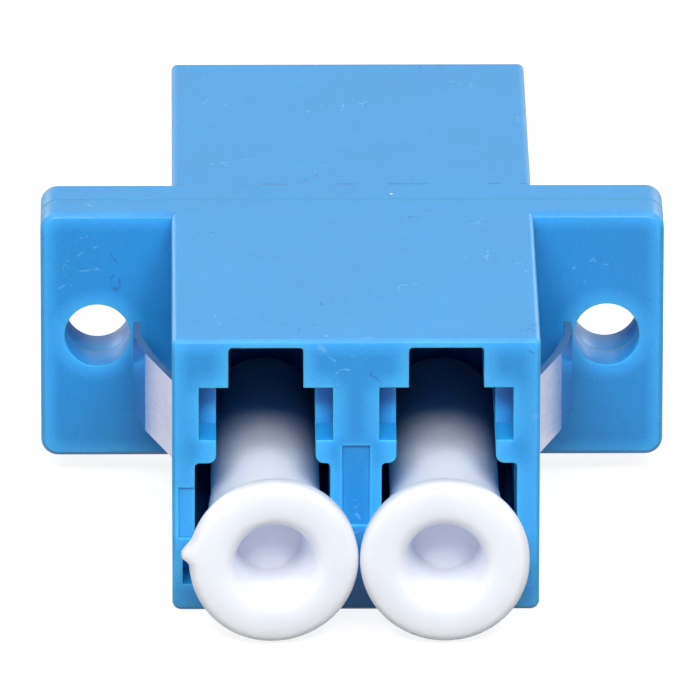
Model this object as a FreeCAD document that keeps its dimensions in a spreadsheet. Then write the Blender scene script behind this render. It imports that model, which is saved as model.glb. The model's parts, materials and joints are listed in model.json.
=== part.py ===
"""Duplex LC fibre adapter in an SC-size flanged body, with four dust caps.

Frame: millimetres, +Z up, the front ports face -Y.  The origin lies on the
underside of the body, on its centre line, in the plane where the two moulded
halves are welded together.
"""
import FreeCAD, Part

import math
import os

import Sketcher

Vector = FreeCAD.Vector

# Driving dimensions in millimetres and degrees.
SIZES = {
    # moulded halves
    "body_length": 12.5,
    "body_width_front": 12.75,
    "body_width_rear": 12.71,
    "body_height": 10.05,
    "body_top_radius": 0.22,
    "body_bottom_radius": 0.32,
    "face_bevel": 0.11,
    "flange_width": 22.0,
    "flange_half_thickness": 1.5,
    "flange_height": 9.15,
    "flange_corner_radius": 0.62,
    "flange_bevel": 0.15,
    "weld_bevel": 0.05,
    "screw_edge": 2.0,
    "screw_hole": 2.32,
    # ports
    "port_pitch": 6.25,
    "port_axis_height": 3.06,
    "chamber_outboard": 2.47,
    "chamber_inboard": 2.24,
    "chamber_floor": 0.75,
    "chamber_top": 5.48,
    "chamber_radius": 0.16,
    "shoulder_radius": 0.3,
    "neck_width": 3.45,
    "latch_floor": 6.33,
    "latch_top": 8.28,
    "latch_width": 4.65,
    "latch_lead": 1.4,
    "latch_ramp_rise": 0.1,
    "latch_ledge": 1.2,
    "latch_radius": 0.14,
    "key_width": 2.6,
    "key_roof": 0.3,
    "key_depth": 7.5,
    # relief marks on the port face
    "web_mark_width": 0.97,
    "web_mark_floor": 3.18,
    "web_mark_top": 6.13,
    "wall_mark_width": 0.57,
    "wall_mark_floor": 2.71,
    "wall_mark_top": 4.58,
    "mark_depth": 0.12,
    "notch_width": 0.42,
    "notch_floor": 0.98,
    "notch_top": 1.9,
    "notch_depth": 1.6,
    # alignment sleeves and the barrels that hold them
    "sleeve_length": 6.8,
    "sleeve_outer": 1.62,
    "sleeve_bore": 1.246,
    "sleeve_slit": 0.24,
    "sleeve_side_clearance": 0.04,
    "sleeve_end_clearance": 0.1,
    "barrel_wall": 0.375,
    "barrel_lip": 0.5,
    "ferrule_mouth": 1.36,
    "ferrule_lead": 0.15,
    "centre_wall": 1.2,
    # spring clip
    "sheet": 0.26,
    "clip_recess": 0.05,
    "clip_clearance": 0.03,
    "clip_bend_radius": 0.35,
    "strap_width": 2.6,
    "arm_height": 2.9,
    "arm_centre_height": 4.95,
    "arm_side_clearance": 0.12,
    "arm_start": 7.0,
    "arm_fold": 4.2,
    "arm_kink": 2.32,
    "arm_tip": 0.8,
    "arm_slope": 19.4,
    "arm_flap": 13.0,
    "arm_curl": 1.0,
    "arm_bend_radius": 0.9,
    "arm_tip_radius": 0.4,
    # dust caps
    "cap_proud": 3.45,
    "cap_rim": 5.85,
    "cap_rim_thickness": 0.9,
    "cap_rim_radius": 0.3,
    "cap_tube": 4.0,
    "cap_stem": 3.8,
    "cap_stem_bevel": 0.25,
    "cap_grip": 1.8,
    "cap_grip_clearance": 0.05,
    "cap_socket_depth": 3.2,
    "cap_knee": 0.3,
    "cap_mouth": 3.15,
    "cap_mouth_throat": 2.75,
    "cap_mouth_depth": 0.3,
    "cap_bore": 2.37,
    "cap_taper_depth": 2.3,
    "cap_bore_depth": 2.6,
    "cap_lean_front_left": 4.4,
    "cap_lean_front_right": 1.5,
    "cap_lean_rear_left": 0.6,
    "cap_lean_rear_right": 0.4,
    "gate_width": 0.6,
    "gate_proud": 0.33,
}

FULL_TURN = 360.0
HALF_TURN = 180.0
# Two lengths closer than this are the same.
NEAR = 1e-5
# How far a cutting profile reaches past the surface that it opens.
OVERSHOOT = 1.0
# A rim's rounded edge is two chords of its arc; this share of the radius locates
# the point where they meet.
ROUND_MIDDLE = 1 - math.sqrt(0.5)


class Size:
    """A number together with the spreadsheet expression that gives it."""

    def __init__(self, value, text):
        self.value = value
        self.text = text

    def __add__(self, other):
        other = as_size(other)
        return Size(self.value + other.value, f"({self.text} + {other.text})")

    def __sub__(self, other):
        other = as_size(other)
        return Size(self.value - other.value, f"({self.text} - {other.text})")

    def __mul__(self, other):
        other = as_size(other)
        return Size(self.value * other.value, f"({self.text} * {other.text})")

    def __truediv__(self, other):
        other = as_size(other)
        return Size(self.value / other.value, f"({self.text} / {other.text})")

    def __neg__(self):
        return Size(-self.value, f"(0 - {self.text})")


def as_size(number):
    """Return number as a Size; plain numbers keep their own text."""
    if isinstance(number, Size):
        return number
    return Size(float(number), f"{float(number)!r}")


def size(name):
    """Return the driving dimension called name."""
    return Size(SIZES[name], f"sizes.{name}")


def tan(angle):
    return Size(math.tan(math.radians(angle.value)), f"tan({angle.text})")


def cos(angle):
    return Size(math.cos(math.radians(angle.value)), f"cos({angle.text})")


def bind(item, prop, length):
    """Tie a property of item to the spreadsheet."""
    item.setExpression(prop, as_size(length).text)


# Lengths that several pieces share.
FACE = size("body_length") + size("flange_half_thickness")
PORT = size("port_pitch") / 2
SLEEVE_SEAT = size("sleeve_length") / 2 + size("sleeve_end_clearance")
SLEEVE_HOLE = size("sleeve_outer") + size("sleeve_side_clearance") * 2
BARREL_END = SLEEVE_SEAT + size("barrel_lip")
BARREL = SLEEVE_HOLE + size("barrel_wall") * 2
CLIP_OUTSIDE = size("body_width_front") / 2 - size("clip_recess")
CLIP_INSIDE = CLIP_OUTSIDE - size("sheet")
CHANNEL_WALL = CLIP_INSIDE - size("clip_clearance")
CHANNEL_FLOOR = size("clip_recess") + size("sheet") + size("clip_clearance")
STRAP_REAR = size("flange_half_thickness") + size("arm_start")
STRAP_FRONT = STRAP_REAR + size("strap_width")
ARM_TOP = size("arm_centre_height") + size("arm_height") / 2


def make_sheet(doc):
    """Write the driving dimensions into a spreadsheet, one row each."""
    sheet = doc.addObject("Spreadsheet::Sheet", "sizes")
    for row, (name, value) in enumerate(SIZES.items(), start=1):
        sheet.set(f"A{row}", name)
        sheet.set(f"B{row}", str(value))
        sheet.setAlias(f"B{row}", name)
    doc.recompute()


def make_body(doc, label):
    body = doc.addObject("PartDesign::Body", label)
    body.Label = label
    return body


def origin_plane(body, role):
    return next(item for item in body.Origin.OriginFeatures if item.Role == role)


def make_sketch(body, name, role, offset=0.0):
    """Add a sketch on an origin plane, moved along that plane's normal."""
    sketch = body.newObject("Sketcher::SketchObject", name)
    sketch.AttachmentSupport = [(origin_plane(body, role), "")]
    sketch.MapMode = "FlatFace"
    bind(sketch, "AttachmentOffset.Base.z", offset)
    return sketch


def fix_point(sketch, geometry, end, across, up):
    """Fix one end of a line, or a centre, at the two named distances."""
    for kind, axis, length in (("DistanceX", -2, across), ("DistanceY", -1, up)):
        length = as_size(length)
        if abs(length.value) < NEAR:
            sketch.addConstraint(Sketcher.Constraint("PointOnObject", geometry, end, axis))
            continue
        rule = Sketcher.Constraint(kind, -1, 1, geometry, end, length.value)
        index = sketch.addConstraint(rule)
        bind(sketch, f"Constraints[{index}]", length)


def step_towards(corner, other, radius):
    """Return the point one radius from a corner along a side parallel to an axis."""
    across, up = as_size(corner[0]), as_size(corner[1])
    shift = as_size(other[0]).value - across.value
    if abs(shift) > NEAR:
        return (across + radius * math.copysign(1, shift), up)
    rise = as_size(other[1]).value - up.value
    return (across, up + radius * math.copysign(1, rise))


def draw_outline(sketch, corners):
    """Draw a closed outline; a corner is (across, up) or (across, up, radius)."""
    count = len(corners)
    ends = []
    for index, corner in enumerate(corners):
        if len(corner) == 2:
            ends.append((corner, corner))
            continue
        before = step_towards(corner, corners[index - 1], corner[2])
        after = step_towards(corner, corners[(index + 1) % count], corner[2])
        ends.append((before, after))

    def vector(point):
        return Vector(as_size(point[0]).value, as_size(point[1]).value, 0)

    lines = []
    for index in range(count):
        start = ends[index][1]
        stop = ends[(index + 1) % count][0]
        line = sketch.addGeometry(Part.LineSegment(vector(start), vector(stop)), False)
        lines.append(line)
        fix_point(sketch, line, 1, *start)
        if len(corners[(index + 1) % count]) == 3:
            fix_point(sketch, line, 2, *stop)
    for index, corner in enumerate(corners):
        if len(corner) == 2:
            rule = Sketcher.Constraint("Coincident", lines[index - 1], 2, lines[index], 1)
            sketch.addConstraint(rule)
            continue
        before, after = (vector(point) for point in ends[index])
        centre = before + after - vector(corner)
        middle = centre + (vector(corner) - centre).normalize() * corner[2].value
        arc = sketch.addGeometry(Part.Arc(before, middle, after), False)
        # An arc is kept anticlockwise, so its ends are matched by place.
        first = 1 if sketch.getPoint(arc, 1).distanceToPoint(before) < NEAR else 2
        sketch.addConstraint([
            Sketcher.Constraint("Coincident", lines[index - 1], 2, arc, first),
            Sketcher.Constraint("Coincident", lines[index], 1, arc, 3 - first),
        ])
        rule = sketch.addConstraint(Sketcher.Constraint("Radius", arc, corner[2].value))
        bind(sketch, f"Constraints[{rule}]", corner[2])


def draw_circle(sketch, across, up, diameter):
    across, up, diameter = as_size(across), as_size(up), as_size(diameter)
    centre = Vector(across.value, up.value, 0)
    circle = sketch.addGeometry(Part.Circle(centre, Vector(0, 0, 1), diameter.value / 2), False)
    fix_point(sketch, circle, 3, across, up)
    rule = sketch.addConstraint(Sketcher.Constraint("Diameter", circle, diameter.value))
    bind(sketch, f"Constraints[{rule}]", diameter)


def box_corners(left, right, low, high, radius=None):
    """Return the four corners of an upright rectangle, rounded if a radius is given."""
    corners = [(left, low), (right, low), (right, high), (left, high)]
    if radius is None:
        return corners
    return [corner + (radius,) for corner in corners]


def extrude(body, kind, sketch, length, backwards=False, both_ways=False):
    """Add a Pad or a Pocket of the sketch."""
    feature = body.newObject(f"PartDesign::{kind}", f"{sketch.Name}_{kind.lower()}")
    feature.Profile = sketch
    bind(feature, "Length", length)
    feature.Reversed = backwards
    if both_ways:
        feature.SideType = "Symmetric"
    return feature


def turn(body, kind, sketch):
    """Add a Revolution or a Groove of the sketch about its own upright axis."""
    feature = body.newObject(f"PartDesign::{kind}", f"{sketch.Name}_{kind.lower()}")
    feature.Profile = sketch
    feature.ReferenceAxis = (sketch, ["V_Axis"])
    feature.Angle = FULL_TURN
    return feature


def mirror(body, features, name):
    """Repeat features on the other side of the body's centre plane."""
    copy = body.newObject("PartDesign::Mirrored", name)
    copy.Originals = features
    copy.MirrorPlane = (origin_plane(body, "YZ_Plane"), [""])
    body.Tip = copy
    return copy


def edge_names(shape, edges):
    """Return the names of those edges of shape."""
    return [
        f"Edge{index}"
        for index, edge in enumerate(shape.Edges, start=1)
        if any(edge.isSame(other) for other in edges)
    ]


def finish_edges(body, kind, name, edges, length):
    """Fillet or chamfer some edges of the body's last feature."""
    base = body.Tip
    feature = body.newObject(f"PartDesign::{kind}", name)
    feature.Base = (base, edge_names(base.Shape, edges))
    bind(feature, "Radius" if kind == "Fillet" else "Size", length)
    body.Document.recompute()
    return feature


def face_at(shape, place):
    """Return the largest flat face that looks along Y and lies at Y = place."""
    faces = [
        face
        for face in shape.Faces
        if isinstance(face.Surface, Part.Plane)
        and abs(abs(face.Surface.Axis.y) - 1) < NEAR
        and abs(face.CenterOfMass.y - place) < NEAR
    ]
    return max(faces, key=lambda face: face.Area)


def add_shell(body, width):
    """Flange half and body block, with their outer edges bevelled."""
    half = width / 2
    top = size("body_height")
    low = top - size("flange_height")
    flange = make_sketch(body, "flange", "XZ_Plane")
    edge = size("flange_width") / 2
    draw_outline(flange, box_corners(-edge, edge, low, top, size("flange_corner_radius")))
    screw = edge - size("screw_edge")
    middle = low + size("flange_height") / 2
    draw_circle(flange, -screw, middle, size("screw_hole"))
    draw_circle(flange, screw, middle, size("screw_hole"))
    extrude(body, "Pad", flange, size("flange_half_thickness"))
    body.Document.recompute()
    front = face_at(body.Tip.Shape, -SIZES["flange_half_thickness"])
    finish_edges(body, "Chamfer", "flange_edge", front.OuterWire.Edges, size("flange_bevel"))

    block = make_sketch(body, "block", "XZ_Plane")
    corner_low = size("body_bottom_radius")
    corner_top = size("body_top_radius")
    draw_outline(block, [
        (-half, 0, corner_low),
        (half, 0, corner_low),
        (half, top, corner_top),
        (-half, top, corner_top),
    ])
    extrude(body, "Pad", block, FACE)
    body.Document.recompute()
    front = face_at(body.Tip.Shape, -FACE.value)
    finish_edges(body, "Chamfer", "face_edge", front.OuterWire.Edges, size("face_bevel"))


def add_port(body):
    """Cut one port, on the +X side, and add the barrel for its alignment sleeve."""
    neck = size("neck_width") / 2
    latch = size("latch_width") / 2
    inner = PORT - size("chamber_inboard")
    outer = PORT + size("chamber_outboard")
    floor, top = size("chamber_floor"), size("chamber_top")
    latch_top = size("latch_top")
    round_in, round_out = size("chamber_radius"), size("shoulder_radius")
    corner = size("latch_radius")

    chamber = make_sketch(body, "chamber", "XZ_Plane", FACE)
    draw_outline(chamber, [
        (inner, floor, round_in),
        (outer, floor, round_in),
        (outer, top, round_in),
        (PORT + neck, top, round_out),
        (PORT + neck, latch_top, corner),
        (PORT - neck, latch_top, corner),
        (PORT - neck, top, round_out),
        (inner, top, round_in),
    ])
    cut_chamber = extrude(body, "Pocket", chamber, FACE - size("centre_wall"))

    key = make_sketch(body, "key_slot", "XZ_Plane", FACE)
    roof = size("body_height") - size("key_roof")
    key_half = size("key_width") / 2
    draw_outline(key, box_corners(
        PORT - key_half, PORT + key_half, size("latch_floor"), roof, corner))
    cut_key = extrude(body, "Pocket", key, size("key_depth"))

    # The shallow lead in front of the latch ledges has a floor that rises inwards.
    lead = make_sketch(body, "latch_lead", "YZ_Plane", PORT)
    lead_end = -(FACE - size("latch_lead"))
    draw_outline(lead, [
        (-(FACE + OVERSHOOT), size("latch_floor")),
        (-FACE, size("latch_floor")),
        (lead_end, size("latch_floor") + size("latch_ramp_rise")),
        (lead_end, latch_top),
        (-(FACE + OVERSHOOT), latch_top),
    ])
    cut_lead = extrude(body, "Pocket", lead, size("latch_width"), both_ways=True)

    # Behind the ledges the latch recess is cored through from the weld side.
    core = make_sketch(body, "latch_core", "XZ_Plane")
    draw_outline(core, box_corners(
        PORT - latch, PORT + latch, size("latch_floor"), latch_top, corner))
    core_depth = FACE - size("latch_lead") - size("latch_ledge")
    cut_core = extrude(body, "Pocket", core, core_depth, backwards=True)

    barrel = make_sketch(body, "barrel", "XZ_Plane")
    draw_circle(barrel, PORT, size("port_axis_height"), BARREL)
    add_barrel = extrude(body, "Pad", barrel, BARREL_END)

    bore = make_sketch(body, "sleeve_seat", "XY_Plane", size("port_axis_height"))
    bind(bore, "AttachmentOffset.Base.x", PORT)
    seat, mouth = SLEEVE_HOLE / 2, size("ferrule_mouth") / 2
    lead_in = size("ferrule_lead")
    draw_outline(bore, [
        (0, 0),
        (seat, 0),
        (seat, -SLEEVE_SEAT),
        (mouth, -SLEEVE_SEAT),
        (mouth, -(BARREL_END - lead_in)),
        (mouth + lead_in, -BARREL_END),
        (0, -BARREL_END),
    ])
    cut_bore = turn(body, "Groove", bore)
    features = [cut_chamber, cut_key, cut_lead, cut_core, add_barrel, cut_bore]
    body.Document.recompute()
    mirror(body, features, "other_port")
    body.Document.recompute()


def add_face_marks(body):
    """Shallow ejector and rib marks on the port face, and one deep side notch."""
    wall = -(PORT + size("chamber_outboard"))
    web = make_sketch(body, "web_mark", "XZ_Plane", FACE)
    half = size("web_mark_width") / 2
    draw_outline(web, box_corners(-half, half, size("web_mark_floor"), size("web_mark_top")))
    extrude(body, "Pocket", web, size("mark_depth"))

    side = make_sketch(body, "wall_mark", "XZ_Plane", FACE)
    inside = wall + size("chamber_radius")
    draw_outline(side, box_corners(
        wall - size("wall_mark_width"), inside, size("wall_mark_floor"), size("wall_mark_top")))
    extrude(body, "Pocket", side, size("mark_depth"))

    notch = make_sketch(body, "side_notch", "XZ_Plane", FACE)
    draw_outline(notch, box_corners(
        wall - size("notch_width"), inside, size("notch_floor"), size("notch_top")))
    extrude(body, "Pocket", notch, size("notch_depth"))
    body.Document.recompute()


def add_clip_channel(body):
    """Channel for the spring clip round the underside and both sides."""
    clearance = size("clip_clearance")
    beyond = size("body_width_front") / 2 + OVERSHOOT
    bend = size("clip_bend_radius")
    top = ARM_TOP + size("arm_side_clearance")
    channel = make_sketch(body, "clip_channel", "XZ_Plane", STRAP_FRONT + clearance)
    draw_outline(channel, [
        (-beyond, -as_size(OVERSHOOT)),
        (beyond, -as_size(OVERSHOOT)),
        (beyond, top),
        (CHANNEL_WALL, top),
        (CHANNEL_WALL, CHANNEL_FLOOR, bend),
        (-CHANNEL_WALL, CHANNEL_FLOOR, bend),
        (-CHANNEL_WALL, top),
        (-beyond, top),
    ])
    extrude(body, "Pocket", channel, size("strap_width") + clearance * 2)

    relief = make_sketch(body, "arm_relief", "XZ_Plane", STRAP_REAR + clearance)
    low = ARM_TOP - size("arm_height") - size("arm_side_clearance")
    draw_outline(relief, box_corners(CHANNEL_WALL, beyond, low, top))
    length = STRAP_REAR + clearance - size("flange_half_thickness")
    cut = extrude(body, "Pocket", relief, length)
    body.Document.recompute()
    mirror(body, [cut], "other_arm_relief")
    body.Document.recompute()


def make_housing(doc, label, width, clipped):
    """One moulded half: it is modelled with its ports facing -Y."""
    body = make_body(doc, label)
    add_shell(body, width)
    add_port(body)
    add_face_marks(body)
    if clipped:
        add_clip_channel(body)
    bevel_weld(body)
    return body


def bevel_weld(body):
    """Bevel the flange at the weld, which leaves a fine line round its rim."""
    face = face_at(body.Tip.Shape, 0)
    flange_low = SIZES["body_height"] - SIZES["flange_height"]
    edges = [edge for edge in face.OuterWire.Edges if edge.BoundBox.ZMin > flange_low - NEAR]
    finish_edges(body, "Chamfer", "weld_edge", edges, size("weld_bevel"))


def make_sleeve(doc, label, side):
    """Zirconia alignment sleeve, slit along its whole length at the top."""
    body = make_body(doc, label)
    half = size("sleeve_length") / 2
    wall = make_sketch(body, "wall", "XZ_Plane")
    draw_circle(wall, 0, 0, size("sleeve_outer"))
    draw_circle(wall, 0, 0, size("sleeve_bore"))
    extrude(body, "Pad", wall, size("sleeve_length"), both_ways=True)
    slit = make_sketch(body, "slit", "XY_Plane", size("sleeve_outer"))
    gap = size("sleeve_slit") / 2
    draw_outline(slit, box_corners(-gap, gap, -half - OVERSHOOT, half + OVERSHOOT))
    extrude(body, "Pocket", slit, size("sleeve_outer"))
    bind(body, "Placement.Base.x", PORT * side)
    bind(body, "Placement.Base.z", size("port_axis_height"))
    return body


def make_clip(doc, label):
    """Spring clip folded from stainless sheet: a strap and two flared arms."""
    body = make_body(doc, label)
    sheet, bend = size("sheet"), size("clip_bend_radius")
    recess = size("clip_recess")
    strap = make_sketch(body, "strap", "XZ_Plane", STRAP_REAR)
    outer_bend = bend + sheet
    draw_outline(strap, [
        (-CLIP_OUTSIDE, recess, outer_bend),
        (CLIP_OUTSIDE, recess, outer_bend),
        (CLIP_OUTSIDE, ARM_TOP),
        (CLIP_INSIDE, ARM_TOP),
        (CLIP_INSIDE, recess + sheet, bend),
        (-CLIP_INSIDE, recess + sheet, bend),
        (-CLIP_INSIDE, ARM_TOP),
        (-CLIP_OUTSIDE, ARM_TOP),
    ])
    extrude(body, "Pad", strap, size("strap_width"))

    flange = size("flange_half_thickness")
    fold = flange + size("arm_fold")
    kink, tip = flange + size("arm_kink"), flange + size("arm_tip")
    slope, flap, curl = size("arm_slope"), size("arm_flap"), size("arm_curl")
    out_fold = CLIP_OUTSIDE + (STRAP_REAR - fold) * tan(slope)
    out_kink = out_fold + (fold - kink) * tan(flap)
    out_tip = out_kink - (kink - tip) * tan(curl)
    arm = make_sketch(body, "arm", "XY_Plane", size("arm_centre_height"))
    draw_outline(arm, [
        (CLIP_INSIDE, -(STRAP_REAR + sheet)),
        (CLIP_OUTSIDE, -(STRAP_REAR + sheet)),
        (CLIP_OUTSIDE, -STRAP_REAR),
        (out_fold, -fold),
        (out_kink, -kink),
        (out_tip, -tip),
        (out_tip - sheet / cos(curl), -tip),
        (out_kink - sheet / cos(flap), -kink),
        (out_fold - sheet / cos(slope), -fold),
        (CLIP_INSIDE, -(STRAP_REAR - sheet * tan(slope / 2))),
    ])
    pad = extrude(body, "Pad", arm, size("arm_height"), both_ways=True)
    doc.recompute()
    mirror(body, [pad], "other_arm")
    doc.recompute()

    creases = [
        edge
        for edge in body.Tip.Shape.Edges
        if is_upright(edge) and abs(edge.BoundBox.YMin + kink.value) < sheet.value / 2
    ]
    finish_edges(body, "Fillet", "kink", creases, size("arm_bend_radius"))
    corners = [
        edge
        for edge in body.Tip.Shape.Edges
        if edge.BoundBox.YMin > -tip.value - NEAR and edge.BoundBox.ZLength < NEAR
        and edge.BoundBox.YLength < NEAR
    ]
    finish_edges(body, "Fillet", "tip_corners", corners, size("arm_tip_radius"))
    return body


def is_upright(edge):
    box = edge.BoundBox
    return box.XLength < NEAR and box.YLength < NEAR


def cap_sketch(body, name, lean=None):
    """Sketch along a cap's axis; a lean turns it about the knee of the tube."""
    sketch = make_sketch(body, name, "XY_Plane")
    bind(sketch, "AttachmentOffset.Base.y", size("cap_knee"))
    if lean is not None:
        bind(sketch, "AttachmentOffset.Rotation.Angle", lean)
    return sketch


def make_cap(doc, label, side, end, lean, gate):
    """Soft dust cap; its head leans towards the middle of the adapter.

    It is modelled with its rim towards -Y and the port mouth's centre at the
    origin.  The stem stays on the port axis and grips the sleeve barrel.
    """
    body = make_body(doc, label)
    knee = size("cap_knee")
    thin, rim = size("cap_stem") / 2, size("cap_rim") / 2
    stem_end = FACE - BARREL_END + size("cap_grip") - knee
    bevel = size("cap_stem_bevel")
    stem = cap_sketch(body, "stem")
    draw_outline(stem, [
        (0, 0),
        (thin, 0),
        (thin, stem_end - bevel),
        (thin - bevel, stem_end),
        (0, stem_end),
    ])
    turn(body, "Revolution", stem)

    rim_front = -(size("cap_proud") + knee)
    rim_back = rim_front + size("cap_rim_thickness")
    tube = size("cap_tube") / 2
    edge = size("cap_rim_radius")
    head = cap_sketch(body, "head", lean)
    middle = edge * ROUND_MIDDLE
    draw_outline(head, [
        (0, rim_front),
        (rim - edge, rim_front),
        (rim - middle, rim_front + middle),
        (rim, rim_front + edge),
        (rim, rim_back),
        (tube, rim_back),
        (tube, knee),
        (0, knee),
    ])
    turn(body, "Revolution", head)

    if gate:
        add_gate(body, lean, rim, rim_front)

    mouth, throat = size("cap_mouth") / 2, size("cap_mouth_throat") / 2
    bore = size("cap_bore") / 2
    throat_place = rim_front + size("cap_mouth_depth")
    taper_place = rim_front + size("cap_taper_depth")
    inside = cap_sketch(body, "inside", lean)
    draw_outline(inside, [
        (0, rim_front - OVERSHOOT),
        (mouth, rim_front - OVERSHOOT),
        (mouth, rim_front),
        (throat, throat_place),
        (bore, taper_place),
        (bore, rim_front + size("cap_bore_depth")),
        (0, rim_front + size("cap_bore_depth")),
    ])
    turn(body, "Groove", inside)

    socket = BARREL / 2 + size("cap_grip_clearance")
    grip = cap_sketch(body, "socket")
    draw_outline(grip, [
        (0, stem_end - size("cap_socket_depth")),
        (socket, stem_end - size("cap_socket_depth")),
        (socket, stem_end),
        (0, stem_end),
    ])
    turn(body, "Groove", grip)

    bind(body, "Placement.Base.x", PORT * side)
    bind(body, "Placement.Base.y", FACE * end)
    bind(body, "Placement.Base.z", size("port_axis_height"))
    return body


def add_gate(body, lean, rim, rim_front):
    """Stub that is left on the rim where the moulding was cut from its runner."""
    width = size("gate_width")
    proud = size("gate_proud")
    middle = rim_front + size("cap_rim_thickness") / 2
    gate = cap_sketch(body, "gate", lean)
    reach = -(rim + proud)
    draw_outline(gate, [
        (-(rim - proud), middle - width / 2),
        (-(rim - proud), middle + width / 2),
        (reach, middle + width / 3),
        (reach, middle - width / 3),
    ])
    extrude(body, "Pad", gate, width, both_ways=True)


def check(doc):
    """Stop if any object failed to compute or any solid is not sound."""
    for item in doc.Objects:
        bad = {"Invalid", "Error"} & set(item.State)
        if bad:
            raise RuntimeError(f"{item.Label}: {sorted(bad)}")
    for body in doc.findObjects("PartDesign::Body"):
        shape = body.Shape
        if shape.isNull() or not shape.isValid() or len(shape.Solids) != 1:
            raise RuntimeError(f"{body.Label}: unsound solid")


def main():
    doc = FreeCAD.newDocument("lc_adapter")
    make_sheet(doc)
    half_turn = FreeCAD.Rotation(Vector(0, 0, 1), HALF_TURN)

    make_housing(doc, "front_housing", size("body_width_front"), clipped=True)
    rear = make_housing(doc, "rear_housing", size("body_width_rear"), clipped=False)
    rear.Placement = FreeCAD.Placement(Vector(), half_turn)

    for name, side in (("left", -1), ("right", 1)):
        make_sleeve(doc, f"sleeve_{name}", side)
        front_lean = size(f"cap_lean_front_{name}") * -side
        make_cap(doc, f"cap_front_{name}", side, -1, front_lean, gate=name == "left")
        rear_lean = size(f"cap_lean_rear_{name}") * side
        cap = make_cap(doc, f"cap_rear_{name}", side, 1, rear_lean, gate=False)
        cap.Placement = FreeCAD.Placement(Vector(), half_turn)
    make_clip(doc, "spring_clip")

    doc.recompute()
    check(doc)
    os.makedirs("parts", exist_ok=True)
    for body in doc.findObjects("PartDesign::Body"):
        body.Shape.exportStep(f"parts/{body.Label}.step")


main()
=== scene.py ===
"""Looks of a duplex LC fibre adapter: moulded halves, spring clip, sleeves and dust caps.

The sizes are in metres.  The front ports face -Y and the underside lies at Z = 0.
"""
import json
import math

import bmesh
import bpy
from bpy.props import FloatProperty, FloatVectorProperty, IntProperty, PointerProperty
from mathutils import Matrix, Vector


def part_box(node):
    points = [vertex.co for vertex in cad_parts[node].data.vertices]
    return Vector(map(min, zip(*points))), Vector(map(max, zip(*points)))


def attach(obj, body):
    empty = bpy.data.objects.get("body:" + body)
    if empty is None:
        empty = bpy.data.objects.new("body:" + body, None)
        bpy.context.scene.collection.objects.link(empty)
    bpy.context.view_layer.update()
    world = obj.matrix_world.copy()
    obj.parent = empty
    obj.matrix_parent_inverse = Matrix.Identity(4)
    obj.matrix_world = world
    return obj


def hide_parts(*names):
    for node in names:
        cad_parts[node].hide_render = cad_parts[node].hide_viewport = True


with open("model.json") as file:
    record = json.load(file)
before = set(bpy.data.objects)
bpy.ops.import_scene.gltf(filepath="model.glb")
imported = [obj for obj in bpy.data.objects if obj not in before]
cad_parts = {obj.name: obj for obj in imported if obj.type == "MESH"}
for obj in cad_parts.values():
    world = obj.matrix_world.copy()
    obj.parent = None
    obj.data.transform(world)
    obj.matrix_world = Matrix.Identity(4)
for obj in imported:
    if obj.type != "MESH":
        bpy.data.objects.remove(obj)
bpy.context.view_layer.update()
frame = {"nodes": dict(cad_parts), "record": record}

bl_info = {
    "name": "Duplex Fibre Adapter",
    "version": (1, 0, 0),
    "blender": (4, 5, 0),
    "location": "View3D > Sidebar > Adapter",
    "description": "Models and finishes a duplex fibre adapter with its dust caps",
    "category": "Object",
}

MM = 0.001
ROOT_BODY = "adapter"
HALVES = ("front_housing", "rear_housing")
SLEEVES = ("sleeve_left", "sleeve_right")
CLIP = "spring_clip"
WHITE = (1, 1, 1, 1)
SOFTBOX_DISTANCE = 0.45
FLOOR_HALF_WIDTH = 2.0

# Places along the body: the weld's plane and the flange's rear face.
WELD = 0.0
FLANGE_REAR = 1.5 * MM
# The tube of a cap bends over this much before and behind its bend's middle.
BEND_PLACE = 0.3 * MM
BEND_REACH = 1.2 * MM
BEND_STEPS = 5

# Copies of CAD meshes: points this near are one, faces within FLAT_ANGLE are one, edges
# sharper than BROKEN_EDGE_ANGLE are bevelled and those under SMOOTH_ANGLE shade smoothly.
MERGE_DISTANCE = 0.0005 * MM
FLAT_ANGLE = math.radians(1)
SMOOTH_ANGLE = math.radians(38)
BROKEN_EDGE_ANGLE = math.radians(40)

# Nearly all of what a noise texture gives lies between these.
NOISE_LOW, NOISE_HIGH = 0.3, 0.7
# Sockets of a mix node, whose names repeat: those for colours and those for numbers.
MIX_FIRST_COLOUR, MIX_SECOND_COLOUR, MIX_RESULT_COLOUR = 6, 7, 2
MIX_FIRST_NUMBER, MIX_SECOND_NUMBER = 2, 3


def hex_colour(code):
    """Turn an sRGB hex colour into the linear numbers that a shader takes."""
    channels = (int(code[place:place + 2], 16) / 255 for place in (1, 3, 5))
    return tuple(
        value / 12.92 if value <= 0.04045 else ((value + 0.055) / 1.055) ** 2.4
        for value in channels
    )


def opaque(colour):
    """Give a colour property its alpha."""
    return (*colour, 1.0)


class PlasticSettings(bpy.types.PropertyGroup):
    """Blue moulded plastic of the two halves."""

    colour: FloatVectorProperty(
        name="Colour", description="Colour of the blue moulding",
        subtype="COLOR", size=3, min=0, max=1, default=hex_colour("#1A94D6"),
    )
    # Colour of the painted glow, which stands in for light coming through thin walls and
    # edges.
    painted_glow_colour: FloatVectorProperty(
        name="Thin colour", description="Colour of thin walls and edges",
        subtype="COLOR", size=3, min=0, max=1, default=hex_colour("#44B8F6"),
    )
    # Reach of the painted glow in from an edge.
    glow: FloatProperty(
        name="Glow", description="How far in from an edge the light comes through",
        unit="LENGTH", precision=6, default=0.7 * MM,
    )
    roughness: FloatProperty(
        name="Roughness", description="How matt the moulded surface is",
        subtype="FACTOR", min=0, max=1, default=0.46,
    )
    grain: FloatProperty(
        name="Grain", description="Width of one grain of the mould's eroded texture",
        unit="LENGTH", precision=6, default=0.09 * MM,
    )
    edge: FloatProperty(
        name="Edge", description="Width of the broken edges round ports and holes",
        unit="LENGTH", precision=6, default=0.09 * MM,
    )


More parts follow.
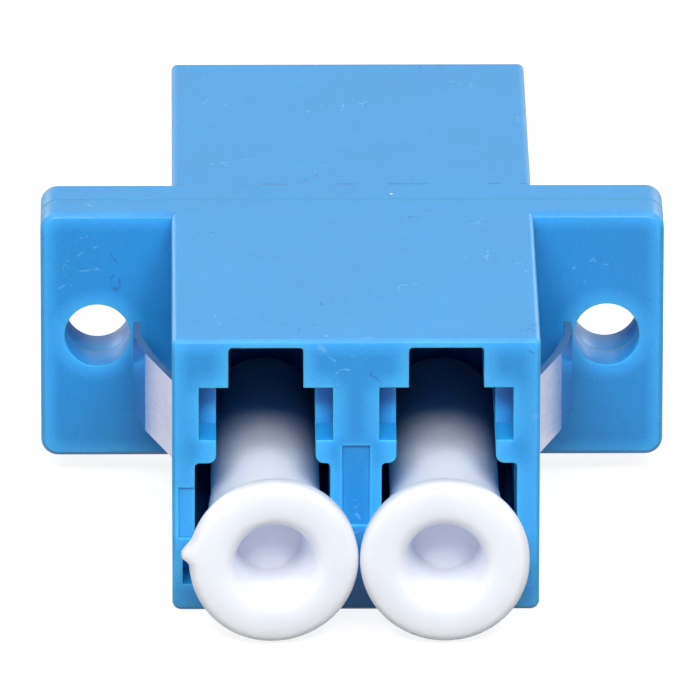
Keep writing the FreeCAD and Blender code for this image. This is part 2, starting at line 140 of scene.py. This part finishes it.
class CapSettings(bpy.types.PropertyGroup):
    """Soft dust caps."""

    colour: FloatVectorProperty(
        name="Colour", description="Colour of the soft plastic",
        subtype="COLOR", size=3, min=0, max=1, default=hex_colour("#ECEFFF"),
    )
    rim: FloatProperty(
        name="Rim", description="Diameter of the rim",
        unit="LENGTH", precision=6, default=5.85 * MM,
    )
    rim_thickness: FloatProperty(
        name="Rim thickness", description="Thickness of the rim",
        unit="LENGTH", precision=6, default=0.9 * MM,
    )
    proud: FloatProperty(
        name="Proud", description="How far the rim's front stands out of the port",
        unit="LENGTH", precision=6, default=3.45 * MM,
    )
    tube: FloatProperty(
        name="Tube", description="Diameter of the tube behind the rim",
        unit="LENGTH", precision=6, default=4.0 * MM,
    )
    stem: FloatProperty(
        name="Stem", description="Diameter of the stem inside the port",
        unit="LENGTH", precision=6, default=3.8 * MM,
    )
    mouth: FloatProperty(
        name="Mouth", description="Diameter of the hole at the rim's front",
        unit="LENGTH", precision=6, default=3.15 * MM,
    )
    bore: FloatProperty(
        name="Bore", description="Diameter of the hole further in",
        unit="LENGTH", precision=6, default=2.37 * MM,
    )
    depth: FloatProperty(
        name="Depth", description="Depth of the hole, from the rim's front",
        unit="LENGTH", precision=6, default=2.6 * MM,
    )
    steps: IntProperty(
        name="Steps", description="Faces round the rim", min=24, max=256, default=160,
    )


class ClipSettings(bpy.types.PropertyGroup):
    """Spring clip."""

    colour: FloatVectorProperty(
        name="Colour", description="Colour of the stainless sheet",
        subtype="COLOR", size=3, min=0, max=1, default=hex_colour("#AEB2CB"),
    )
    roughness: FloatProperty(
        name="Roughness", description="How matt the rolled sheet is",
        subtype="FACTOR", min=0, max=1, default=0.16,
    )


class StageSettings(bpy.types.PropertyGroup):
    """Camera, floor and lamps."""

    azimuth: FloatProperty(
        name="Azimuth", description="How far the camera stands round to the left",
        subtype="ANGLE", default=math.radians(0.67),
    )
    elevation: FloatProperty(
        name="Elevation", description="How far the camera looks down",
        subtype="ANGLE", default=math.radians(20.914),
    )
    roll: FloatProperty(
        name="Roll", description="Turn of the camera about its own axis",
        subtype="ANGLE", default=math.radians(0.108),
    )
    distance: FloatProperty(
        name="Distance", description="From the camera to the point that it looks at",
        unit="LENGTH", default=606.5 * MM,
    )
    lens: FloatProperty(
        name="Lens", description="Focal length, on a sensor 36 mm wide",
        subtype="DISTANCE_CAMERA", default=880.0,
    )
    aim: FloatVectorProperty(
        name="Aim", description="Point that the camera looks at",
        subtype="TRANSLATION", unit="LENGTH", precision=6,
        default=(-0.054 * MM, 0, 4.326 * MM),
    )
    side_power: FloatProperty(
        name="Side lights", description="Power of each softbox before the part's corners",
        unit="POWER", default=0.67,
    )
    front_power: FloatProperty(
        name="Front light", description="Power of the softbox over the camera",
        unit="POWER", default=1.18,
    )
    back_power: FloatProperty(
        name="Back lights", description="Power of each softbox behind the part",
        unit="POWER", default=0.65,
    )
    room: FloatProperty(
        name="Room", description="Strength of the light from all round",
        min=0, default=0.1,
    )


def add_node(tree, kind, inputs=None, **settings):
    """Add a shader node; inputs gives each socket a value or another node's output."""
    node = tree.nodes.new(f"ShaderNode{kind}")
    for name, value in settings.items():
        setattr(node, name, value)
    for socket, value in (inputs or {}).items():
        if isinstance(value, bpy.types.NodeSocket):
            tree.links.new(value, node.inputs[socket])
        else:
            node.inputs[socket].default_value = value
    return node


def new_material(name):
    """Make an empty node material and return it with its tree."""
    material = bpy.data.materials.new(name)
    material.use_nodes = True
    material.node_tree.nodes.clear()
    return material, material.node_tree


def finish_material(tree, shader):
    """Send a shader to the material's output."""
    add_node(tree, "OutputMaterial", {"Surface": shader.outputs[0]})


def noise(tree, place, width, detail=2.0, roughness=0.5):
    """Return a noise texture with blots about as wide as the given length."""
    return add_node(tree, "TexNoise", {
        "Vector": place, "Scale": 1 / width, "Detail": detail, "Roughness": roughness,
    }).outputs


def spread(tree, value, low, high, first=0.0, last=1.0):
    """Map the range from low to high onto first to last, and hold what lies beyond."""
    return add_node(tree, "MapRange", {
        "Value": value, "From Min": low, "From Max": high, "To Min": first, "To Max": last,
    }).outputs[0]


def vary(tree, value, least, most):
    """Spread most of what a noise gives over least to most."""
    return spread(tree, value, NOISE_LOW, NOISE_HIGH, least, most)


def compute(tree, operation, *values):
    """Return the result of a math node."""
    return add_node(tree, "Math", dict(enumerate(values)), operation=operation).outputs[0]


def blend(tree, factor, first, second):
    """Mix two colours."""
    return add_node(tree, "Mix", {
        "Factor": factor, MIX_FIRST_COLOUR: first, MIX_SECOND_COLOUR: second,
    }, data_type="RGBA").outputs[MIX_RESULT_COLOUR]


def shade(tree, colour, value):
    """Scale the brightness of a colour."""
    return add_node(tree, "HueSaturation", {"Color": colour, "Value": value}).outputs[0]


def bumped(tree, height, strength, distance):
    """Return a normal that a height pattern has roughened."""
    return add_node(tree, "Bump", {
        "Height": height, "Strength": strength, "Distance": distance,
    }).outputs[0]


def scratches(tree, place, shift):
    """Return a mask of short thin scratches that run all ways, in a few patches."""
    moved = add_node(tree, "Mapping", {
        "Vector": place, "Location": (shift, shift, shift),
    }).outputs[0]
    sway = noise(tree, moved, 1.2 * MM, detail=1.0)["Color"]
    bend = 0.8 * MM
    bent = add_node(tree, "VectorMath", {
        0: sway, 1: (bend, bend, bend), 2: moved,
    }, operation="MULTIPLY_ADD").outputs[0]
    web = add_node(tree, "TexVoronoi", {
        "Vector": bent, "Scale": 1 / (0.9 * MM),
    }, feature="DISTANCE_TO_EDGE").outputs["Distance"]
    stroke = spread(tree, web, 0.012, 0.035, 1.0, 0.0)
    short = spread(tree, noise(tree, moved, 0.35 * MM, detail=1.0)["Fac"], 0.55, 0.62)
    patch = spread(tree, noise(tree, moved, 2.2 * MM, detail=0.0)["Fac"], 0.69, 0.73)
    return compute(tree, "MULTIPLY", compute(tree, "MULTIPLY", stroke, short), patch)


def line_across(tree, place, along, half_width):
    """Return a mask of a thin line round the body at one distance along it."""
    split = add_node(tree, "SeparateXYZ", {"Vector": place})
    offset = compute(tree, "SUBTRACT", split.outputs["Y"], along)
    away = compute(tree, "ABSOLUTE", offset)
    return spread(tree, away, half_width / 2, half_width, 1.0, 0.0)


def broken_up(tree, place, mask):
    """Break a mask into dashes."""
    dashes = spread(tree, noise(tree, place, 0.8 * MM)["Fac"], 0.48, 0.56)
    return compute(tree, "MULTIPLY", mask, dashes)


def facing_up(tree):
    """Return 1 where the surface lies level and 0 where it stands upright."""
    normal = add_node(tree, "TexCoord").outputs["Normal"]
    upright = add_node(tree, "SeparateXYZ", {"Vector": normal}).outputs["Z"]
    return spread(tree, compute(tree, "ABSOLUTE", upright), 0.4, 0.9)


def painted_glow_mask(tree, reach):
    """Return the mask of the painted glow: 1 at edges and thin walls that stand upright,
    and 0 on solid ones.
    """
    depth = add_node(tree, "AmbientOcclusion", {"Distance": reach}, inside=True, samples=3)
    near = spread(tree, depth.outputs["AO"], 0.55, 1.0, 1.0, 0.0)
    # Level faces are left out, as the thin roofs over the ports would show as pale squares.
    standing = compute(tree, "SUBTRACT", 1.0, facing_up(tree))
    return compute(tree, "MULTIPLY", near, standing)


def dust_specks(tree, place):
    """Return a mask of rare specks, each about a tenth of a millimetre wide."""
    dust = add_node(tree, "TexVoronoi", {
        "Vector": place, "Scale": 1 / (1.6 * MM), "Randomness": 1.0,
    })
    speck = spread(tree, dust.outputs["Distance"], 0.028, 0.045, 1.0, 0.0)
    chance = add_node(tree, "SeparateColor", {"Color": dust.outputs["Color"]}).outputs[0]
    return compute(tree, "MULTIPLY", speck, compute(tree, "GREATER_THAN", chance, 0.84))


def moulded_pbt(settings):
    """Moulded PBT from a spark-eroded tool, with a painted glow at its thin walls and
    edges.

    The tool leaves an even, fine matt grain.  Handling leaves a few specks of dust and
    patches of short scratches, some paler and some darker than the plastic.
    """
    material, tree = new_material("moulded_pbt_blue")
    place = add_node(tree, "TexCoord").outputs["Object"]
    grain = noise(tree, place, settings.grain, detail=3.0, roughness=0.6)["Fac"]
    # Slow changes of tone, a few millimetres wide, from the flow of the melt.
    flow = noise(tree, place, 4 * MM)["Fac"]
    tone = compute(
        tree, "MULTIPLY", vary(tree, flow, 0.965, 1.03), vary(tree, grain, 0.94, 1.06),
    )
    # Painted glow: thin walls and edges are painted a paler blue, which stands in for light
    # that comes through them.
    painted_glow = blend(
        tree, painted_glow_mask(tree, settings.glow),
        opaque(settings.colour), opaque(settings.painted_glow_colour),
    )
    colour = shade(tree, painted_glow, tone)
    crease = compute(
        tree, "MULTIPLY",
        line_across(tree, place, FLANGE_REAR, 0.06 * MM), facing_up(tree),
    )
    for mask, mark in (
        (dust_specks(tree, place), "#DCEAF6"),
        (scratches(tree, place, 0), "#63B2E6"),
        (scratches(tree, place, 7 * MM), "#1C6AAE"),
        # The weld's line, and a broken darker line on the level face where the flange's
        # rear meets the body's top.
        (line_across(tree, place, WELD, 0.07 * MM), "#1C86C2"),
        (broken_up(tree, place, crease), "#1C6FB0"),
    ):
        colour = blend(tree, mask, colour, opaque(hex_colour(mark)))
    shader = add_node(tree, "BsdfPrincipled", {
        "Base Color": colour,
        "Roughness": settings.roughness,
        "IOR": 1.52,
        "Subsurface Weight": 1.0,
        "Subsurface Radius": (0.6, 0.8, 1.0),
        "Subsurface Scale": 0.5 * MM,
        "Normal": bumped(tree, grain, 0.12, 0.02 * MM),
    })
    finish_material(tree, shader)
    return material


def moulded_ldpe(settings):
    """Moulded LDPE: waxy, faintly see-through at its edges and never quite flat."""
    material, tree = new_material("moulded_ldpe_white")
    place = add_node(tree, "TexCoord").outputs["Object"]
    wave = noise(tree, place, 1.1 * MM)["Fac"]
    grain = noise(tree, place, 0.12 * MM)["Fac"]
    relief = compute(tree, "MULTIPLY_ADD", grain, 0.3, wave)
    white = shade(tree, opaque(settings.colour), vary(tree, wave, 0.98, 1.01))
    shader = add_node(tree, "BsdfPrincipled", {
        "Base Color": white,
        "Roughness": 0.42,
        "IOR": 1.51,
        "Subsurface Weight": 1.0,
        "Subsurface Radius": (0.9, 0.95, 1.0),
        "Subsurface Scale": 1.0 * MM,
        "Normal": bumped(tree, relief, 0.1, 0.03 * MM),
    })
    finish_material(tree, shader)
    return material


def rolled_stainless(settings):
    """Cold-rolled spring stainless steel, blanked and folded.

    Rolling leaves fine lines along the strip, and the blanked edges are matt and grey,
    because they were sheared and never polished.
    """
    material, tree = new_material("spring_stainless_rolled")
    coords = add_node(tree, "TexCoord").outputs
    along = add_node(tree, "Mapping", {
        "Vector": coords["Object"], "Scale": (1.0, 1.0, 14.0),
    }).outputs[0]
    lines = noise(tree, along, 0.9 * MM, detail=4.0, roughness=0.65)["Fac"]
    stain = noise(tree, coords["Object"], 0.7 * MM, detail=3.0)["Fac"]
    upright = add_node(tree, "SeparateXYZ", {"Vector": coords["Normal"]}).outputs["Z"]
    sheared = spread(tree, compute(tree, "ABSOLUTE", upright), 0.75, 0.95)
    sheet = shade(tree, opaque(settings.colour), vary(tree, stain, 0.95, 1.03))
    shader = add_node(tree, "BsdfPrincipled", {
        "Base Color": blend(tree, sheared, sheet, opaque(hex_colour("#B9B4B8"))),
        "Metallic": 1.0,
        "Roughness": vary(
            tree, lines, settings.roughness - 0.04, settings.roughness + 0.06),
        "Normal": bumped(tree, lines, 0.15, 0.01 * MM),
    })
    finish_material(tree, shader)
    return material


def ground_zirconia():
    """Zirconia, ground and polished: creamy white, dense and glassy."""
    material, tree = new_material("zirconia_ground")
    place = add_node(tree, "TexCoord").outputs["Object"]
    cloud = noise(tree, place, 0.5 * MM)["Fac"]
    cream = shade(tree, opaque(hex_colour("#F1EDE2")), vary(tree, cloud, 0.97, 1.02))
    shader = add_node(tree, "BsdfPrincipled", {
        "Base Color": cream,
        "Roughness": 0.12,
        "IOR": 2.1,
        "Subsurface Weight": 0.2,
        "Subsurface Scale": 0.3 * MM,
    })
    finish_material(tree, shader)
    return material


def add_piece(name, mesh_builder, material):
    """Turn a bmesh into a finished piece at the origin, smooth across soft edges."""
    mesh = bpy.data.meshes.new(name)
    mesh_builder.to_mesh(mesh)
    mesh_builder.free()
    mesh.materials.append(material)
    mesh.polygons.foreach_set("use_smooth", [True] * len(mesh.polygons))
    mesh.set_sharp_from_angle(angle=SMOOTH_ANGLE)
    piece = bpy.data.objects.new(name, mesh)
    bpy.context.scene.collection.objects.link(piece)
    return piece


def copy_of_node(node, edge):
    """Return a merged copy of a CAD node's mesh, with its sharp edges broken."""
    builder = bmesh.new()
    builder.from_mesh(frame["nodes"][node].data)
    bmesh.ops.remove_doubles(builder, verts=builder.verts, dist=MERGE_DISTANCE)
    bmesh.ops.dissolve_limit(
        builder, angle_limit=FLAT_ANGLE, verts=builder.verts, edges=builder.edges,
    )
    sharp = [
        line
        for line in builder.edges
        if line.is_manifold and line.calc_face_angle() > BROKEN_EDGE_ANGLE
    ]
    bmesh.ops.bevel(
        builder, geom=sharp, offset=edge, segments=3, profile=0.5,
        affect="EDGES", clamp_overlap=True, material=-1,
    )
    return builder


def flatten_shading(piece):
    """Keep the large flat faces flat and leave the rounding to the narrow ones."""
    weighted = piece.modifiers.new("flat_faces", "WEIGHTED_NORMAL")
    weighted.mode = "FACE_AREA"
    weighted.weight = 100
    weighted.keep_sharp = True


def material_slots(node, material):
    """Give a CAD node that stays in view its finished material."""
    for slot in frame["nodes"][node].material_slots:
        slot.material = material


class ADAPTER_OT_moulded_halves(bpy.types.Operator):
    """Finish the two welded halves in blue moulded plastic."""

    bl_idname = "adapter.moulded_halves"
    bl_label = "Moulded halves"

    def execute(self, context):
        settings = context.scene.adapter_plastic
        material = moulded_pbt(settings)
        for node in HALVES:
            builder = copy_of_node(node, settings.edge)
            piece = add_piece(f"{node}_moulding", builder, material)
            flatten_shading(piece)
            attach(piece, ROOT_BODY)
            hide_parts(node)
        return {"FINISHED"}


class ADAPTER_OT_spring_clip(bpy.types.Operator):
    """Finish the folded spring clip in rolled stainless steel."""

    bl_idname = "adapter.spring_clip"
    bl_label = "Spring clip"

    def execute(self, context):
        material_slots(CLIP, rolled_stainless(context.scene.adapter_clip))
        return {"FINISHED"}


class ADAPTER_OT_sleeves(bpy.types.Operator):
    """Finish the alignment sleeves in zirconia."""

    bl_idname = "adapter.sleeves"
    bl_label = "Alignment sleeves"

    def execute(self, context):
        material = ground_zirconia()
        for node in SLEEVES:
            material_slots(node, material)
        return {"FINISHED"}


# Each cap's place and lean: side, end, lean towards the middle, gate stub left on.
CAPS = {
    "cap_front_left": (-1, -1, math.radians(4.4), True),
    "cap_front_right": (1, -1, math.radians(1.5), False),
    "cap_rear_left": (-1, 1, math.radians(0.6), False),
    "cap_rear_right": (1, 1, math.radians(0.4), False),
}


def cap_profile(builder, settings, stem_length):
    """Draw half of a cap's section: across is the radius, -Y is out of the port."""
    front = -settings.proud
    back = front + settings.rim_thickness
    rim, tube, stem = settings.rim / 2, settings.tube / 2, settings.stem / 2
    mouth, bore = settings.mouth / 2, settings.bore / 2
    hole_end = front + settings.depth
    # The hole flares at its mouth, then narrows evenly to its bore.
    flare, flare_depth = 0.2 * MM, 0.3 * MM
    taper_end = front + 2.3 * MM
    stem_start = 3 * MM
    socket, socket_end = 1.275 * MM, stem_length - 3.2 * MM
    # Each corner: how far across, how far along, and the radius that rounds it.
    section = [
        (0, hole_end, 0),
        (bore, hole_end, 0.12 * MM),
        (bore, taper_end, 0),
        (mouth - flare, front + flare_depth, 0),
        (mouth, front, 0.22 * MM),
        (rim, front, 0.3 * MM),
        (rim, back, 0.24 * MM),
        (tube, back, 0.22 * MM),
        *(
            (tube, BEND_PLACE + step * BEND_REACH / BEND_STEPS, 0)
            for step in range(-BEND_STEPS, BEND_STEPS + 1)
        ),
        (stem, stem_start, 0),
        (stem, stem_length, 0.25 * MM),
        (socket, stem_length, 0.1 * MM),
        (socket, socket_end, 0),
        (0, socket_end, 0),
    ]
    points = [builder.verts.new((across, along, 0)) for across, along, _ in section]
    for first, second in zip(points, points[1:]):
        builder.edges.new((first, second))
    for point, (_, _, radius) in zip(points, section):
        if radius:
            bmesh.ops.bevel(
                builder, geom=[point], offset=radius, segments=6, profile=0.5,
                affect="VERTICES", material=-1,
            )


def leave_gate_stub(builder, rim):
    """Draw out the rim's side into the small torn stub of the moulding gate."""
    proud, height = 0.3 * MM, 0.27 * MM
    # How far the stub spreads up and down, and how far in from the side it reaches.
    above, below, band = 0.34 * MM, 0.17 * MM, 0.2 * MM
    for point in builder.verts:
        across, _, up = point.co
        radius = math.hypot(across, up)
        if across > 0 or radius < rim - band:
            continue
        offset = up - height
        falloff = above if offset > 0 else below
        reach = proud * math.exp(-((offset / falloff) ** 2)) * (1 - (rim - radius) / band)
        point.co.x -= reach


def lean_head(builder, lean):
    """Bend the tube over a short stretch and lean what is in front of it."""
    for point in builder.verts:
        share = (BEND_PLACE + BEND_REACH - point.co.y) / (2 * BEND_REACH)
        if share <= 0:
            continue
        share = min(share, 1.0)
        centre = Vector((0, BEND_PLACE + BEND_REACH * (1 - share), 0))
        point.co = Matrix.Rotation(lean * share, 3, "Z") @ (point.co - centre) + centre


def cap_mesh(settings, stem_length, lean, gate):
    """Spin a cap's section and lean its head over the last part of the tube."""
    builder = bmesh.new()
    cap_profile(builder, settings, stem_length)
    bmesh.ops.spin(
        builder, geom=builder.verts[:] + builder.edges[:], cent=(0, 0, 0),
        axis=(0, 1, 0), angle=math.tau, steps=settings.steps, use_merge=True,
    )
    bmesh.ops.remove_doubles(builder, verts=builder.verts, dist=MERGE_DISTANCE)
    bmesh.ops.recalc_face_normals(builder, faces=builder.faces)
    if gate:
        leave_gate_stub(builder, settings.rim / 2)
    lean_head(builder, lean)
    return builder


class ADAPTER_OT_dust_caps(bpy.types.Operator):
    """Model the four soft dust caps."""

    bl_idname = "adapter.dust_caps"
    bl_label = "Dust caps"

    def execute(self, context):
        settings = context.scene.adapter_caps
        material = moulded_ldpe(settings)
        for node, (side, end, lean, gate) in CAPS.items():
            low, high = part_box(node)
            port = frame_port(node)
            inner = high[1] if end < 0 else -low[1]
            stem_length = inner + abs(port.y)
            builder = cap_mesh(settings, stem_length, lean * side * end, gate)
            half_turn = Matrix.Rotation(math.pi if end > 0 else 0, 4, "Z")
            place = Matrix.Translation(port) @ half_turn
            bmesh.ops.transform(builder, matrix=place, verts=builder.verts)
            piece = add_piece(f"{node}_moulding", builder, material)
            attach(piece, node)
            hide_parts(node)
        return {"FINISHED"}


def frame_port(node):
    """Return the middle of the port mouth that a cap closes, from the record."""
    name = node.replace("cap", "port")
    mount = next(mount for mount in frame["record"]["mounts"] if mount["name"] == name)
    return Vector(mount["pos_m"])


def add_softbox(name, aim, azimuth, elevation):
    """Add an area lamp that looks at aim; azimuth 0 is in front, over the camera."""
    lamp = bpy.data.lights.new(name, "AREA")
    lamp.shape = "RECTANGLE"
    toward = Vector((
        math.sin(azimuth) * math.cos(elevation),
        -math.cos(azimuth) * math.cos(elevation),
        math.sin(elevation),
    ))
    item = bpy.data.objects.new(name, lamp)
    item.location = aim + toward * SOFTBOX_DISTANCE
    item.rotation_euler = toward.to_track_quat("Z", "Y").to_euler()
    bpy.context.scene.collection.objects.link(item)
    return lamp


def any_view(tree):
    """Return 1 for rays that look at a surface: straight, by gloss or through something."""
    path = add_node(tree, "LightPath").outputs
    direct = compute(tree, "MAXIMUM", path["Is Camera Ray"], path["Is Glossy Ray"])
    return compute(tree, "MAXIMUM", direct, path["Is Transmission Ray"])


def pale_floor():
    """Pale paper sweep: white where it is lit, with the object's soft shadow on it."""
    material, tree = new_material("floor_paper")
    paper = add_node(tree, "BsdfDiffuse", {"Color": opaque(hex_colour("#8C8C8C"))})
    # What the lamps don't make white is added for rays that look at the paper.
    glow = compute(tree, "MULTIPLY", any_view(tree), 0.86)
    lift = add_node(tree, "Emission", {"Color": WHITE, "Strength": glow})
    both = add_node(tree, "AddShader", {0: paper.outputs[0], 1: lift.outputs[0]})
    finish_material(tree, both)
    return material


class ADAPTER_OT_stage(bpy.types.Operator):
    """Set up the camera, the floor, the lamps and the room's light."""

    bl_idname = "adapter.stage"
    bl_label = "Stage"

    def execute(self, context):
        scene, settings = context.scene, context.scene.adapter_stage
        scene.view_settings.view_transform = "Standard"
        aim = Vector(settings.aim)
        camera = bpy.data.cameras.new("camera")
        camera.sensor_width = 36
        camera.lens = settings.lens
        item = bpy.data.objects.new("camera", camera)
        turn = (
            Matrix.Rotation(-settings.azimuth, 4, "Z")
            @ Matrix.Rotation(math.pi / 2 - settings.elevation, 4, "X")
            @ Matrix.Rotation(settings.roll, 4, "Z")
        )
        item.matrix_world = Matrix.Translation(aim) @ turn @ Matrix.Translation(
            (0, 0, settings.distance))
        scene.collection.objects.link(item)
        scene.camera = item

        builder = bmesh.new()
        bmesh.ops.create_grid(builder, x_segments=1, y_segments=1, size=FLOOR_HALF_WIDTH)
        floor = add_piece("floor", builder, pale_floor())

        square, strip = (0.13, 0.13), (0.24, 0.08)
        for name, azimuth, elevation, size, power in (
            ("softbox_left", -30, 46, square, settings.side_power),
            ("softbox_right", 30, 46, square, settings.side_power),
            ("softbox_front", 0, 40, strip, settings.front_power),
            ("softbox_back_left", -140, 24, square, settings.back_power),
            ("softbox_back_right", 140, 24, square, settings.back_power),
        ):
            lamp = add_softbox(name, aim, math.radians(azimuth), math.radians(elevation))
            lamp.size, lamp.size_y = size
            lamp.energy = power
        self.light_room(scene, settings)
        return {"FINISHED"}

    def light_room(self, scene, settings):
        """Weak even light, while the camera, gloss and anything clear see white."""
        world = bpy.data.worlds.new("room")
        world.use_nodes = True
        tree = world.node_tree
        tree.nodes.clear()
        strength = add_node(tree, "Mix", {
            "Factor": any_view(tree),
            MIX_FIRST_NUMBER: settings.room, MIX_SECOND_NUMBER: 1.0,
        })
        sky = add_node(tree, "Background", {
            "Color": WHITE, "Strength": strength.outputs[0],
        })
        add_node(tree, "OutputWorld", {"Surface": sky.outputs[0]})
        scene.world = world


class ADAPTER_PT_panel(bpy.types.Panel):
    """Panel with the adapter's settings and operators."""

    bl_label = "Fibre adapter"
    bl_idname = "ADAPTER_PT_panel"
    bl_space_type = "VIEW_3D"
    bl_region_type = "UI"
    bl_category = "Adapter"

    def draw(self, context):
        """Show each group of settings and then the operators."""
        layout = self.layout
        for name, group in SETTINGS.items():
            box = layout.box()
            box.label(text=group.__doc__)
            for prop in group.__annotations__:
                box.prop(getattr(context.scene, name), prop)
        for operator in OPERATORS:
            layout.operator(operator.bl_idname)


SETTINGS = {
    "adapter_plastic": PlasticSettings,
    "adapter_caps": CapSettings,
    "adapter_clip": ClipSettings,
    "adapter_stage": StageSettings,
}
OPERATORS = (
    ADAPTER_OT_stage,
    ADAPTER_OT_moulded_halves,
    ADAPTER_OT_spring_clip,
    ADAPTER_OT_sleeves,
    ADAPTER_OT_dust_caps,
)
CLASSES = (*SETTINGS.values(), *OPERATORS, ADAPTER_PT_panel)


def register():
    """Register the classes and give every scene its settings."""
    for item in CLASSES:
        bpy.utils.register_class(item)
    for name, group in SETTINGS.items():
        setattr(bpy.types.Scene, name, PointerProperty(type=group))


def unregister():
    """Undo register."""
    for name in SETTINGS:
        delattr(bpy.types.Scene, name)
    for item in reversed(CLASSES):
        bpy.utils.unregister_class(item)


def main():
    """Build the pieces and the stage."""
    register()
    bpy.ops.adapter.stage()
    bpy.ops.adapter.moulded_halves()
    bpy.ops.adapter.spring_clip()
    bpy.ops.adapter.sleeves()
    bpy.ops.adapter.dust_caps()


if __name__ == "__main__":
    main()
